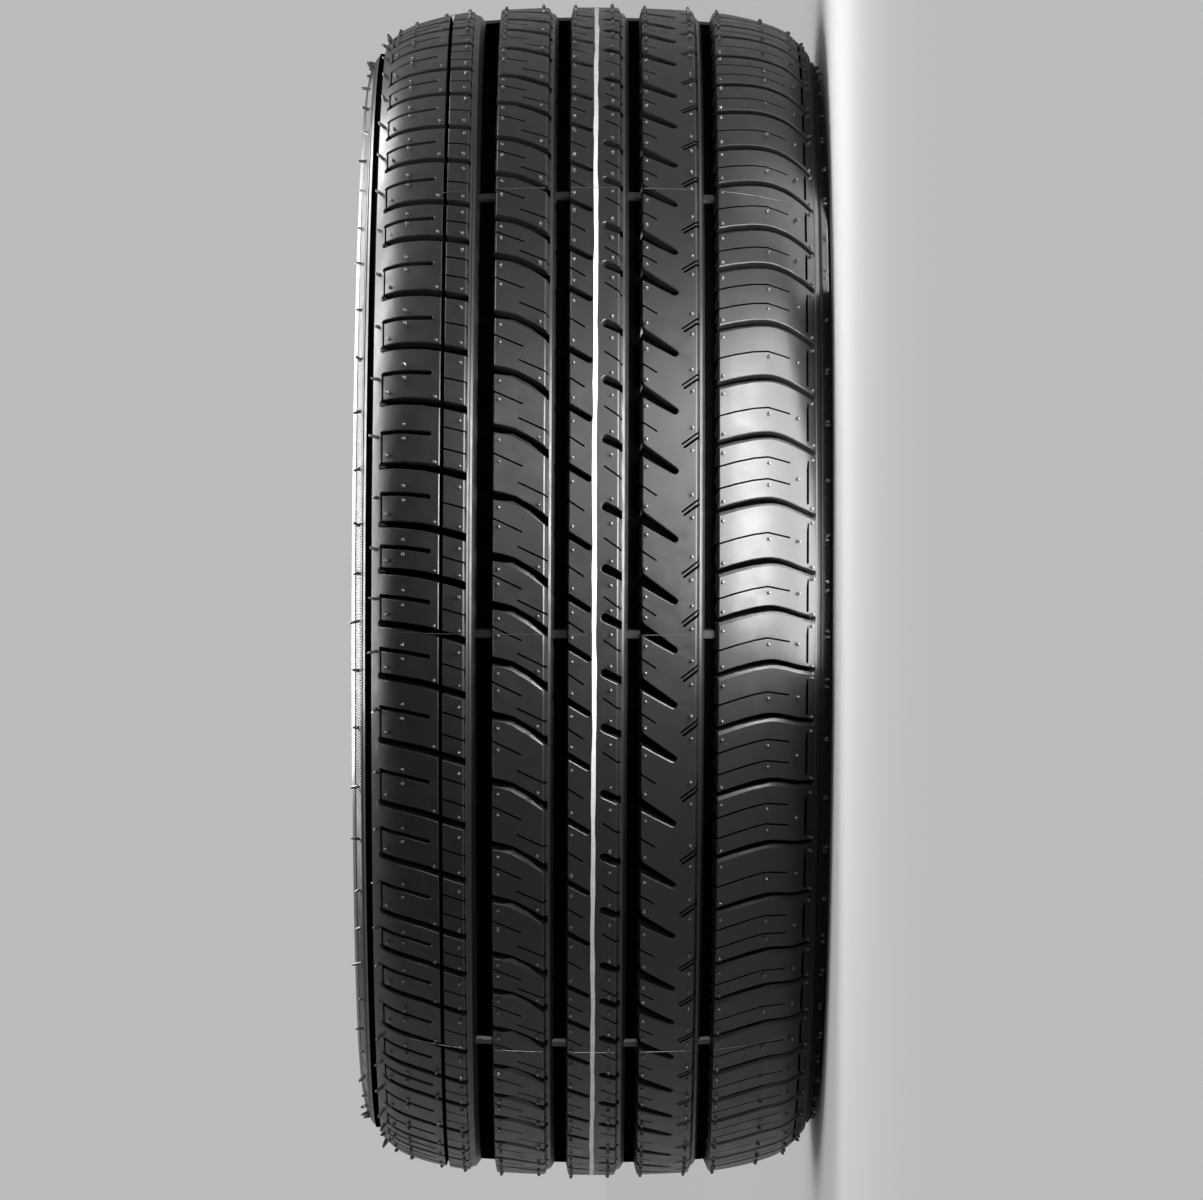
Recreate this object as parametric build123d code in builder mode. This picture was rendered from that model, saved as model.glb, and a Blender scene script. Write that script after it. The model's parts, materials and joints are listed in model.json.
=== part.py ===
"""A car tyre of the size 245/40 R 18, lying on one sidewall with its spin axis along +Z.

The origin is the centre of the wheel: the middle plane of the tread is z = 0, and the upper sidewall
faces +Z. Lengths are millimetres and angles are degrees. A place on the tread is (across, around):
across is the distance from the middle plane towards the lower sidewall, and around is the distance
along the tread, counted anticlockwise as seen from above.
"""

import os
from math import asin, cos, degrees, radians, sin, sqrt

from build123d import *

# Overall sizes
OVERALL_DIAMETER = 653.0
SECTION_WIDTH = 253.0

# The rim that the tyre fits
RIM_SEAT_DIAMETER = 462.0
RIM_WIDTH = 216.0
RIM_FLANGE_HEIGHT = 17.3

# The crown: three arcs follow one another from the middle plane out to each sidewall
CROWN_RADIUS = 900.0
CROWN_REACH = 60.0
SHOULDER_RADIUS = 150.0
EDGE_RADIUS = 32.0
EDGE_WIDTH = 12.0
EDGE_INSET = 14.5
TREAD_EDGE_INSET = 22.5

# Walls and beads
CROWN_THICKNESS = 15.5
LINER_CORNER_INSET = 20.0
WIDEST_HEIGHT_SHARE = 0.468
SIDEWALL_THICKNESS = 8.5
SIDEWALL_STEPS = 3
RIM_PROTECTOR_RISE = 8.0
RIM_PROTECTOR_INSET = 1.5
LOWER_WALL_THICKNESS = 16.0
BEAD_WIDTH = 19.0
BEAD_HEEL = 4.0

# Grooves that run round the tyre: where each begins and ends across the tread
ROUND_GROOVES = ((-65.9, -51.7), (-24.0, -12.1), (14.5, 26.1), (55.4, 66.0))
ROUND_GROOVE_DEPTH = 7.0
ROUND_GROOVE_WALL_RUN = 2.0

# Pitches of the tread pattern: their relative lengths, and how they follow one another round the tyre
PITCH_LENGTHS = {"S": 4.5, "M": 5.1, "L": 5.7, "X": 6.35}
PITCH_SEQUENCE = "SMLMSXLXXMMSLXLLXSLML" "MXLSMLXLMSSMXLXLMSLXML" "SLMXLSMMLXSLMXLLSMXMSLX"
FIRST_PITCH_TURN = -149.4

# Grooves across the shoulders in each pitch: they are deepest where they start, in a round groove, and
# run out on the surface where they end
SHOULDER_GROOVE_WIDTH = 4.2
SHOULDER_GROOVE_DEPTH = 5.5
UPPER_GROOVE_AROUND = (-1.1, 8.2)
UPPER_GROOVE_INSET = 0.5
LOWER_GROOVE_AROUND = (-19.6, -9.6)
LOWER_GROOVE_INSET = 4.0
CUT_HEIGHT = 30.0

RADIUS = OVERALL_DIAMETER / 2
SEAT_RADIUS = RIM_SEAT_DIAMETER / 2
HALF_WIDTH = SECTION_WIDTH / 2
HALF_RIM = RIM_WIDTH / 2
EDGE_REACH = HALF_WIDTH - EDGE_INSET
SHOULDER_REACH = EDGE_REACH - EDGE_WIDTH
TREAD_EDGE = HALF_WIDTH - TREAD_EDGE_INSET
UPPER_GROOVE_REACH = TREAD_EDGE - UPPER_GROOVE_INSET
LOWER_GROOVE_REACH = TREAD_EDGE - LOWER_GROOVE_INSET
CROWN_ARCS = ((CROWN_RADIUS, CROWN_REACH), (SHOULDER_RADIUS, SHOULDER_REACH), (EDGE_RADIUS, EDGE_REACH))
GROOVE_MIDDLES = [(near + far) / 2 for near, far in ROUND_GROOVES]


def crown(across):
    """How far the crown has dropped below its highest point, and how steep it is, at a place across."""
    drop = 0.0
    sine = 0.0
    inner = 0.0
    for radius, reach in CROWN_ARCS:
        outer = min(abs(across), reach)
        next_sine = sine + (outer - inner) / radius
        drop += radius * (sqrt(1 - sine**2) - sqrt(1 - next_sine**2))
        sine = next_sine
        inner = outer
    return drop, degrees(asin(sine))


def rib_drop(near, far):
    """How far a rib between two places across lies below the crown's highest point."""
    return crown((near + far) / 2)[0]


def shoulder_drop(across):
    """How far the straight slope of a shoulder lies below the crown's highest point at a place across.

    The slope takes the place of the curve from the end of the crown to the edge of the tread, and is set
    out by half the curve's bulge, so that it lies as much outside the curve as inside.
    """
    inner = crown(CROWN_REACH)[0]
    outer = crown(TREAD_EDGE)[0]
    bulge = (inner + outer) / 2 - crown((CROWN_REACH + TREAD_EDGE) / 2)[0]
    share = (abs(across) - CROWN_REACH) / (TREAD_EDGE - CROWN_REACH)
    return inner + (outer - inner) * share - bulge / 2


def crown_points():
    """Radius and height along the tread, from its lower edge to its upper edge."""
    points = [(RADIUS - shoulder_drop(GROOVE_MIDDLES[-1]), -GROOVE_MIDDLES[-1])]
    for far, near in zip(GROOVE_MIDDLES[:0:-1], GROOVE_MIDDLES[-2::-1]):
        points.append((RADIUS - rib_drop(near, far), -far))
        points.append((RADIUS - rib_drop(near, far), -near))
    points.append((RADIUS - shoulder_drop(GROOVE_MIDDLES[0]), -GROOVE_MIDDLES[0]))
    return points


def sidewall_points():
    """Radius and height of the upper side, from the edge of the tread round to the inner liner."""
    edge_drop, edge_slope = crown(EDGE_REACH)
    widest = SEAT_RADIUS + (RADIUS - SEAT_RADIUS) * WIDEST_HEIGHT_SHARE
    bulge_rise = (RADIUS - edge_drop - widest) / cos(radians(edge_slope))
    bulge_depth = EDGE_INSET / (1 - sin(radians(edge_slope)))
    points = [(RADIUS - shoulder_drop(TREAD_EDGE), TREAD_EDGE)]
    for step in range(SIDEWALL_STEPS + 1):
        slope = radians(edge_slope + (90 - edge_slope) * step / SIDEWALL_STEPS)
        points.append((widest + bulge_rise * cos(slope), HALF_WIDTH - bulge_depth * (1 - sin(slope))))
    flange = SEAT_RADIUS + RIM_FLANGE_HEIGHT
    points.append((flange + RIM_PROTECTOR_RISE, HALF_WIDTH - RIM_PROTECTOR_INSET))
    points.append((flange, HALF_RIM))
    points.append((SEAT_RADIUS + BEAD_HEEL, HALF_RIM))
    points.append((SEAT_RADIUS, HALF_RIM - BEAD_HEEL))
    points.append((SEAT_RADIUS, HALF_RIM - BEAD_WIDTH))
    points.append((flange, HALF_RIM - LOWER_WALL_THICKNESS))
    points.append((widest, HALF_WIDTH - SIDEWALL_THICKNESS))
    points.append((RADIUS - CROWN_THICKNESS, TREAD_EDGE - LINER_CORNER_INSET))
    return points


def pitch_turns():
    """The angle at which each pitch of the tread pattern starts."""
    total = sum(PITCH_LENGTHS[size] for size in PITCH_SEQUENCE)
    turns = []
    turn = FIRST_PITCH_TURN
    for size in PITCH_SEQUENCE:
        turns.append(turn)
        turn += 360 * PITCH_LENGTHS[size] / total
    return turns


def on_tread(across, around, drop):
    """A point at a place on the tread, as far below the crown's highest point as the drop says."""
    fall = around**2 / OVERALL_DIAMETER
    return TREAD_PLANE.from_local_coords(Vector(across, around, -drop - fall))


# The cutter of one pitch: a wedge for each shoulder groove, its edge along the floor of the groove
TREAD_PLANE = Plane(origin=(RADIUS, 0, 0), x_dir=(0, 0, -1), z_dir=(1, 0, 0))
FLOOR_DROP = shoulder_drop(CROWN_REACH) + SHOULDER_GROOVE_DEPTH
SHOULDER_GROOVES = (
    (
        on_tread(-CROWN_REACH, UPPER_GROOVE_AROUND[0], FLOOR_DROP),
        on_tread(-UPPER_GROOVE_REACH, UPPER_GROOVE_AROUND[1], shoulder_drop(UPPER_GROOVE_REACH)),
    ),
    (
        on_tread(CROWN_REACH, LOWER_GROOVE_AROUND[0], FLOOR_DROP),
        on_tread(LOWER_GROOVE_REACH, LOWER_GROOVE_AROUND[1], shoulder_drop(LOWER_GROOVE_REACH)),
    ),
)
with BuildPart() as pitch_cutter:
    for start, end in SHOULDER_GROOVES:
        route = end - start
        level_route = route - TREAD_PLANE.z_dir * route.dot(TREAD_PLANE.z_dir)
        half_top = SHOULDER_GROOVE_WIDTH / 2 * CUT_HEIGHT / SHOULDER_GROOVE_DEPTH
        with BuildSketch(Plane(origin=start, x_dir=TREAD_PLANE.z_dir, z_dir=level_route)):
            with BuildLine():
                Polyline((0, 0), (CUT_HEIGHT, half_top), (CUT_HEIGHT, -half_top), close=True)
            make_face()
        extrude(amount=route.length, dir=route)

with BuildPart() as tyre:
    with BuildSketch(Plane.XZ):
        upper_side = sidewall_points()
        lower_side = [(radius, -height) for radius, height in reversed(upper_side)]
        with BuildLine():
            Polyline(*crown_points(), *upper_side, *lower_side, close=True)
        make_face()
    revolve(axis=Axis.Z)
    with BuildSketch(Plane.XZ):
        for near, far in ROUND_GROOVES:
            floor = RADIUS - rib_drop(near, far) - ROUND_GROOVE_DEPTH
            with BuildLine():
                Polyline(
                    (floor, -near - ROUND_GROOVE_WALL_RUN),
                    (floor, -far + ROUND_GROOVE_WALL_RUN),
                    (RADIUS, -far),
                    (RADIUS + CUT_HEIGHT, -far),
                    (RADIUS + CUT_HEIGHT, -near),
                    (RADIUS, -near),
                    close=True,
                )
            make_face()
    revolve(axis=Axis.Z, mode=Mode.SUBTRACT)
    with Locations(*[Location((0, 0, 0), (0, 0, turn)) for turn in pitch_turns()]):
        add(pitch_cutter.part, mode=Mode.SUBTRACT)

os.makedirs("parts", exist_ok=True)
tyre.part.label = "tyre"
export_step(tyre.part, "parts/tyre.step")
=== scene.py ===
"""The looks of a car tyre that lies on one sidewall, seen square on to its tread.

The spin axis of the frame is +Z. The camera looks along +Y and lies on its side, so that the picture's up
is +X and its right is -Z. Sizes are millimetres, and turn to metres where a mesh is made.

The tread is drawn flat and then wrapped round the tyre. On the flat, x follows the section of the tyre
from the middle of the tread towards the lower sidewall, y follows the tread round, anticlockwise as seen
from above, and z stands up from the surface. A place is (across, around): across is the distance from the
middle plane, and around is the distance from the start of a pitch of the pattern.
"""

import json
from bisect import bisect_right
from math import asin, copysign, cos, hypot, pi, radians, sin
from typing import NamedTuple

import bpy
from mathutils import Matrix, Vector
from mathutils.geometry import delaunay_2d_cdt

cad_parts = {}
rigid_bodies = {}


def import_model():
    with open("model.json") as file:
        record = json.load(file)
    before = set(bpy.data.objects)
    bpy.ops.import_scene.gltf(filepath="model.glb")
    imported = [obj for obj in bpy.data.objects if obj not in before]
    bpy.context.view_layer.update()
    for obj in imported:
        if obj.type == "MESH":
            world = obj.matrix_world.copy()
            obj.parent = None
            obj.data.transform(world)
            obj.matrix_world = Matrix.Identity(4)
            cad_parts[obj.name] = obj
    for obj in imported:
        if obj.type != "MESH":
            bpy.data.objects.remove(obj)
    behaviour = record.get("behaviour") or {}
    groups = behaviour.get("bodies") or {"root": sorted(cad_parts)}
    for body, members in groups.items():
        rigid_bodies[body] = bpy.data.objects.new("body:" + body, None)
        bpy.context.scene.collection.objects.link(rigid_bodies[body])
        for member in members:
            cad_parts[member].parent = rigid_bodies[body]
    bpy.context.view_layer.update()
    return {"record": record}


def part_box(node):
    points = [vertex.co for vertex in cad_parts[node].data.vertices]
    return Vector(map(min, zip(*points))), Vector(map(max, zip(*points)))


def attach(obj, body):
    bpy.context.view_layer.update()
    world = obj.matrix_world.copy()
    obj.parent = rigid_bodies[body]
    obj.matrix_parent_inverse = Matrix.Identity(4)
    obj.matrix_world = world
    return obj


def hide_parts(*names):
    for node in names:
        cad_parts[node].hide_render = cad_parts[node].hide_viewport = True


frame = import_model()

MM = 0.001

# Sizes that the frame gives
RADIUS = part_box("tyre")[1].x / MM
HALF_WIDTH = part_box("tyre")[1].z / MM
SEAT_RADIUS = frame["record"]["mounts"][0]["dims"]["r_mm"]

# Section: the crown's arcs as (radius, how far across it reaches), and the shape of the walls
EDGE_INSET = 14.5
EDGE_REACH = HALF_WIDTH - EDGE_INSET
CROWN_ARCS = ((900.0, 60.0), (150.0, EDGE_REACH - 12.0), (32.0, EDGE_REACH))
WIDEST_HEIGHT_SHARE = 0.468
SIDEWALL_THICKNESS = 8.5
SIDEWALL_ROUNDING = 8
HALF_RIM = 108.0
CROWN_THICKNESS = 15.5
LINER_RADIUS = RADIUS - CROWN_THICKNESS
LINER_CORNER = 84
LINER_ROUNDING = 16
ARC_STEPS = 10
CORNER_STEPS = 4

# The share of a side that the rounding of a corner may take up
ROUNDING_LIMIT = 0.49

# Rim protector and bead as corners of (height above the bead seat, across, how far from the corner its
# rounding starts)
BEAD_CORNERS = (
    (34.5, HALF_WIDTH - 0.4, 6), (31.5, HALF_WIDTH - 2.0, 2), (29.5, HALF_WIDTH - 0.4, 2),
    (24.5, HALF_WIDTH - 1.2, 3), (19.5, HALF_RIM + 4.5, 5), (16.5, HALF_RIM, 4), (0, HALF_RIM, 6),
    (0, HALF_RIM - 19, 2), (17.3, HALF_RIM - 16, 8),
)

# Pitches of the tread pattern: relative lengths, and how they follow one another round the tyre
PITCH_LENGTHS = {"S": 4.5, "M": 5.1, "L": 5.7, "X": 6.35}
PITCH_SEQUENCE = "SMLMSXLXXMMSLXLLXSLML" "MXLSMLXLMSSMXLXLMSLXML" "SLMXLSMMLXSLMXLLSMXMSLX"
FIRST_TURN = radians(-149.4)

# Where the long sipes lie in each pitch, as shares of its length
SIPE_SHARES = {"S": (0.47,), "M": (0.47,), "L": (0.47,), "X": (0.33, 0.66)}

# Round grooves as (near edge, far edge, run of the near wall, run of the far wall)
ROUND_GROOVES = (
    (-65.9, -51.7, 5.0, 1.5),
    (-24.0, -12.1, 4.2, 1.4),
    (14.5, 26.1, 4.3, 1.5),
    (55.4, 66.0, 3.7, 2.0),
)
ROUND_GROOVE_DEPTH = 7.0
EDGE_BREAK = 0.45

# The near walls of the round grooves as (across from the near edge, depth): a bevel, a step down to a shelf
# and a second bevel, which the first groove has twice, above the plain foot of the wall
FIRST_NEAR_WALL = ((-1.6, 0.0), (-0.9, 0.45), (-0.4, 1.65), (0.1, 1.7), (1.0, 2.3), (1.6, 2.35), (2.7, 3.1))
NEAR_WALL = ((-1.6, 0.0), (-0.9, 0.45), (0.2, 2.95), (1.1, 3.05), (2.3, 3.8))
LAST_NEAR_WALL = ((-1.6, 0.0), (-0.9, 0.45), (0.9, 3.9), (1.1, 3.95), (2.3, 4.7))
NEAR_WALLS = (FIRST_NEAR_WALL, NEAR_WALL, NEAR_WALL, LAST_NEAR_WALL)

# Where the second bevel starts, past which no cut runs on into the round groove
CUT_STOPS = (0.1, 1.1, 1.1, 1.1)

# Painted shade: a face whose shade is above this, as rubber deeper than this and what is marked with SHADE,
# is painted near black without sheen, for the shade that falls deep in grooves, sipes and channels
PAINTED_SHADE_DEPTH = 4.8
SHADE = 20.0

# The thin groove round the upper shoulder
THIN_GROOVE = -79.0
THIN_GROOVE_WIDTH = 2.0
THIN_GROOVE_FLOOR_SHARE = 0.7
THIN_GROOVE_DEPTH = 3.5

# Rings of the sidewalls as (across, depth) points: a channel and two ridges on each
UPPER_RINGS = (
    ((-115.4, 0.0), (-115.8, 1.8), (-118.4, 1.8), (-118.9, 0.0)),
    ((-120.2, 0.0), (-120.4, -0.4), (-120.7, -0.4), (-120.9, 0.0)),
    ((-124.0, 0.0), (-124.15, -0.4), (-124.3, -0.4), (-124.45, 0.0)),
)
LOWER_RINGS = (
    ((117.0, 0.0), (117.4, -0.4), (118.8, -0.4), (119.2, 0.0)),
    ((119.5, 0.0), (119.8, 1.0), (121.4, 1.0), (121.8, 0.0)),
    ((124.0, 0.0), (124.15, -0.4), (124.3, -0.4), (124.45, 0.0)),
)

# Where extra lines round the tyre keep the curved shoulders smooth
SHOULDER_LINES = (72.5, 87.0, 93.0, 98.0, 101.5, 105.0, 108.5)

# Into how many cells a pitch parts the lines round the tyre
TREAD_CELLS = 4
WALL_CELLS = 3
BEAD_CELLS = 2

# How far the walls of a cut lean out, how steep the slope along its lower edge is, and the steps of its
# round ends
WALL_RUN = 0.3
RAMP_SLOPE = 0.6
CAP_STEPS = 5
SIPE_CAP_STEPS = 2

# How close two places on the flat count as one: in a cut's profile, where a cut stops and in the mesh
TINY = 1e-6
TOUCH = 0.001
MERGE_DISTANCE = 1e-4

# How close, in metres, the edges of neighbouring pitches are joined
SEAM = 0.00001

# Edges that turn by more than this stay crisp
BODY_SMOOTHING = radians(24)
WHISKER_SMOOTHING = radians(50)


class Cut(NamedTuple):
    """A groove, notch or sipe in each pitch.

    route: its (across, around) points
    widths, depths: sizes spread evenly from the route's start to its end
    chamfer: how much its rim is broken; a cut without one is a sipe, with walls that meet at its bottom
    shares: for each copy, the shares of the pitch length that are added at the route's start and end
    open_start, open_end: true where that end runs into something, and so isn't round
    ramps: widths of the slope that takes the place of its lower edge, spread evenly in the same way
    """

    route: tuple
    widths: tuple
    depths: tuple
    chamfer: float
    shares: tuple
    open_start: bool = False
    open_end: bool = False
    ramps: tuple = (0.0, 0.0)


SIPE_WIDTHS = (0.95, 0.95)
SIPE_DEPTHS = (4.5, 4.5)
SLOT_DEPTHS = (1.6, 1.6)

# Cuts that part one pitch from the next, so that each has a copy at the start and at the end of a pitch. On
# the centre rib the line between the pitches runs on past the notch
BOUNDS = ((0.0, 0.0), (1.0, 1.0))
UPPER_GROOVE = (
    (-110.4, 8.4), (-105.0, 8.1), (-100.0, 7.6), (-89.0, 6.1), (-78.0, 3.4), (-65.9, 0.0), (-59.8, -1.1),
)
RIB_GROOVE = (
    (-53.5, -9.3), (-51.7, -10.2), (-46.5, -11.1), (-41.3, -12.6), (-32.4, -17.8), (-24.0, -23.6),
    (-19.0, -27.1),
)
CENTRE_NOTCH = ((-14.0, -30.2), (-12.1, -31.4), (-1.9, -37.7))
CENTRE_RIB_LINE = ((6.8, -38.2), (14.5, -41.5), (19.8, -41.5))
RIB_NOTCH = ((24.6, -21.3), (26.1, -22.3), (34.7, -27.9), (42.8, -33.1))
LOWER_GROOVE = (
    (64.2, -18.6), (66.0, -18.1), (75.0, -15.2), (84.0, -12.8), (90.0, -11.8), (93.5, -11.6),
    (97.0, -12.0), (102.0, -13.3), (108.0, -15.4), (116.0, -17.9),
)
BOUNDARY_CUTS = (
    Cut(UPPER_GROOVE, (3.8, 4.3), (5.9, 6.0), 0.4, BOUNDS, False, True),
    Cut(
        RIB_GROOVE, (4.5, 4.2, 4.5), (5.7, 5.3, 5.7), 0.4, BOUNDS, True, True,
        (0.0, 0.0, 0.0, 1.4, 1.4, 0.0, 0.0),
    ),
    Cut(CENTRE_NOTCH, (3.8, 3.1), (5.6, 5.3), 0.4, BOUNDS, True),
    Cut(RIB_NOTCH, (6.8, 5.4, 3.4), (5.7, 5.2), 0.5, BOUNDS, True),
    Cut(
        LOWER_GROOVE, (4.2, 4.2, 3.8), (5.7, 5.4, 5.0), 0.4, BOUNDS, True, False,
        (1.5, 1.3, 0.7, 1.1, 1.5, 1.3),
    ),
)


def at(*shares):
    """Copies of a cut that keep its shape, each moved by a share of the pitch length."""
    return tuple((share, share) for share in shares)


def inner_cuts(sipe_shares):
    """The cuts inside a pitch, which has its long sipes at the given shares of its length."""
    return (
        Cut(((-110.4, 8.4), (-98.0, 7.4), (-85.4, 5.4)), (2.3, 2.3), (5.0, 5.2), 0.3, at(0.517)),
        Cut(((-110.4, 9.6), (-110.4, 8.4)), (1.2, 1.2), (3.0, 3.0), 0.0, ((0.0, 0.517),), True, True),
        Cut(((-79.0, 3.7), (-66.6, 0.2)), SIPE_WIDTHS, SIPE_DEPTHS, 0.0, at(*sipe_shares), True, False),
        Cut(((-52.5, -9.8), (-36.8, -17.3)), SIPE_WIDTHS, SIPE_DEPTHS, 0.0, at(0.622), True, False),
        Cut(((-38.8, -16.5), (-23.5, -23.9)), SIPE_WIDTHS, SIPE_DEPTHS, 0.0, at(0.36), False, False),
        Cut(((-12.8, -30.9), (-4.5, -36.6)), SIPE_WIDTHS, SIPE_DEPTHS, 0.0, at(0.5), True, False),
        Cut(((6.8, -16.2), (14.5, -20.0), (19.8, -22.7)), (4.6, 3.8), (5.6, 5.6), 0.4, at(0.0), False, True),
        Cut(((6.1, -16.2), (15.0, -22.5)), SIPE_WIDTHS, SIPE_DEPTHS, 0.0, at(-0.454), False, False),
        Cut(((25.3, -21.8), (33.3, -27.1)), SIPE_WIDTHS, SIPE_DEPTHS, 0.0, at(0.469), True, False),
        Cut(((46.6, -18.7), (55.4, -11.9)), (1.0, 1.0), SLOT_DEPTHS, 0.0, at(0.0), False, True),
        Cut(((47.8, -20.4), (55.4, -14.6)), (1.3, 1.3), SLOT_DEPTHS, 0.0, at(0.0), False, True),
        Cut(
            ((65.3, -18.3), (75.0, -15.2), (84.0, -12.8), (91.6, -11.5), (103.0, -13.8)),
            SIPE_WIDTHS, SIPE_DEPTHS, 0.0, at(*sipe_shares), True, False,
        ),
        Cut(((112.6, -16.9), (112.6, -16.9)), (1.8, 1.8), (3.0, 3.0), 0.0, ((0.16, 0.82),)),
    )


# Vents that leave a whisker of rubber, as (across, around, share of the pitch length)
TREAD_VENTS = (
    (-107.3, 13.7, 0.0), (-98.7, 12.2, 0.5), (-98.7, 4.3, 0.5), (-82.3, 8.2, 0.0), (-69.3, 5.6, 0.0),
    (-69.3, -5.9, 1.0), (-49.0, -16.8, 1.0), (-49.0, -14.8, 0.622), (-28.2, -15.5, 0.0),
    (-10.5, -26.6, 0.0), (-10.5, -39.2, 1.0), (9.8, -12.4, 0.0), (9.8, -25.1, 0.0), (28.0, -16.1, 0.0),
    (28.0, -31.1, 1.0), (51.9, -9.8, 0.0), (51.9, -22.0, 0.0), (68.0, -12.9, 0.0), (68.0, -23.1, 1.0),
    (107.2, -15.5, 0.47), (114.7, -17.5, 0.86), (114.7, -17.5, 0.10),
)
SIPE_VENT = (92.0, -15.0)
UPPER_WALL_VENTS = ((-113.1, 6.9, 0.517), (-122.5, 0.0, 0.3))
LOWER_WALL_VENTS = ((122.6, -17.0, 0.6), (122.8, 0.0, 0.15))

# Whiskers: width, sides, rings as (share of the width, share of the length), lengths and leans
VENT_WIDTH = 1.9
VENT_SIDES = 6
VENT_RINGS = ((1.15, -0.3), (1.0, 0.35), (0.9, 0.65), (0.65, 0.9), (0.3, 1.0))
TREAD_VENT_LENGTHS = (1.2, 2.4)
UPPER_WALL_VENT_LENGTHS = (2.5, 5.5)
LOWER_WALL_VENT_LENGTHS = (1.6, 3.0)
TREAD_VENT_LEAN = radians(14)
WALL_VENT_LEAN = radians(25)
SEED = 7

# What stands where two segments of the mould met: threads of flash, which stop short of both edges of a
# rib, and wear bars, which reach over a share of the groove walls
PARTING_LINES = 8
PARTING_TURN = radians(-94.0)
FLASH_WIDTH = 0.4
FLASH_TOP_WIDTH = 0.1
FLASH_HEIGHT = 0.2
FLASH_ROOT = -0.2
FLASH_STEP = 6.0
FLASH_INSETS = (0.6, 1.7)
WEAR_BAR_LENGTH = 6.0
WEAR_BAR_SLOPE = 1.0
WEAR_BAR_HEIGHT = 1.6
WEAR_BAR_ROOT = 0.5
WEAR_BAR_REACH = 0.6

# Serrations: the half width of a foot is a share of the spacing
SERRATION_SPACING = 1.6
SERRATION_REACH = (121.2, 123.7)
SERRATION_HEIGHT = 0.35
SERRATION_ROOT = -0.1
SERRATION_FOOT_SHARE = 0.42
SERRATION_TOP_WIDTH = 0.24

# The paint line, with the waves of its middle and of its width as (size, waves round the tyre, shift)
PAINT_LINE = 1.1
PAINT_WIDTH = 2.2
PAINT_THICKNESS = 0.06
PAINT_ROOT = -0.25
PAINT_STEPS = 480
PAINT_SWAYS = ((0.16, 9, 0), (0.12, 23, 1), (0.07, 61, 2))
PAINT_SWELLS = ((0.10, 37, 0), (0.07, 83, 1))

# Sizes of the patterns in the materials
BLOOM_SIZE = 35
FILM_SIZE = 9
PATCH_SIZE = 4
GRAIN_SIZE = 0.9
GRAIN_DEPTH = 0.2

# The studio: how far the floor reaches, and softboxes over the tread, far in front of it and low on the
# floor before it, as (name, place, target, (width, height), power) in metres and watts
FLOOR_REACH = 60.0
CEILING_POWER = 0.94
CEILING_SPREAD = radians(20)
SOFTBOXES = (
    ("overhead_softbox", (0.12, -0.22, 0.255), (0.115, -0.26, 0.12), (0.40, 0.08), 1.4),
    ("rear_softbox", (0.125, -0.105, 0.205), (0.115, -0.28, 0.12), (0.46, 0.08), 1.3),
    ("edge_softbox", (0.12, -0.27, 0.20), (0.12, -0.28, 0.10), (0.40, 0.06), 0.15),
    ("front_softbox", (3.52, -6.6, 0.28), (0.05, -0.3, -0.02), (3.0, 0.8), 118.0),
    ("low_softbox", (0.10, -0.41, -0.125), (0.10, -0.41, 0.0), (0.26, 0.08), 2.3),
    ("lowest_softbox", (0.08, -0.33, -0.125), (0.08, -0.33, 0.0), (0.24, 0.06), 0.46),
    ("low_upper_softbox", (0.26, -0.24, -0.125), (0.26, -0.24, 0.0), (0.20, 0.06), 0.09),
)

# The camera: its distance in radii of the tyre, its lens, and the shifts of the picture in pixels
CAMERA_DISTANCE = 13.8
CAMERA_LENS = 240.4
CAMERA_SENSOR = 36.0
CAMERA_ROLL = radians(0.24)
CAMERA_REACH = 200.0
PICTURE_WIDTH = 1203.0
PICTURE_SHIFTS = (9.3, -8.5)


def rounded(corners):
    """A line through corners given as (radius, across, how far from the corner its rounding starts)."""
    line = []
    for before, corner, after in zip(corners, corners[1:], corners[2:]):
        middle = Vector(corner[:2])
        ends = []
        for other in (before, after):
            side = Vector(other[:2]) - middle
            ends.append(middle + side * min(ROUNDING_LIMIT, corner[2] / side.length))
        for step in range(CORNER_STEPS + 1):
            share = step / CORNER_STEPS
            bend = ends[0].lerp(middle, share).lerp(middle.lerp(ends[1], share), share)
            line.append((bend.x, bend.y))
    return line


def half_section():
    """Radius and across round half of the section: its outer face from the middle of the tread to the
    widest place, and the rest from there round the bead to the middle of the inner liner."""
    outer = [(RADIUS, 0.0)]
    slope = 0.0
    for radius, reach in CROWN_ARCS:
        start_radius, start_across = outer[-1]
        start = slope
        slope = asin(sin(start) + (reach - start_across) / radius)
        for step in range(1, ARC_STEPS + 1):
            turn = start + (slope - start) * step / ARC_STEPS
            outer.append((start_radius - radius * (cos(start) - cos(turn)),
                          start_across + radius * (sin(turn) - sin(start))))
    widest = SEAT_RADIUS + (RADIUS - SEAT_RADIUS) * WIDEST_HEIGHT_SHARE
    rise = (outer[-1][0] - widest) / cos(slope)
    depth = EDGE_INSET / (1 - sin(slope))
    for step in range(1, ARC_STEPS + 1):
        turn = slope + (pi / 2 - slope) * step / ARC_STEPS
        outer.append((widest + rise * cos(turn), HALF_WIDTH - depth * (1 - sin(turn))))
    rest = rounded((
        (widest, HALF_WIDTH, 0),
        *((SEAT_RADIUS + height, across, reach) for height, across, reach in BEAD_CORNERS),
        (widest, HALF_WIDTH - SIDEWALL_THICKNESS, SIDEWALL_ROUNDING),
        (LINER_RADIUS, LINER_CORNER, LINER_ROUNDING),
        (LINER_RADIUS, 0, 0),
    ))
    return outer, rest + [(LINER_RADIUS, 0.0)]


def lengths_along(line):
    """The distance along a line to each of its points."""
    total = [0.0]
    for (x0, y0), (x1, y1) in zip(line, line[1:]):
        total.append(total[-1] + hypot(x1 - x0, y1 - y0))
    return total


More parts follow.
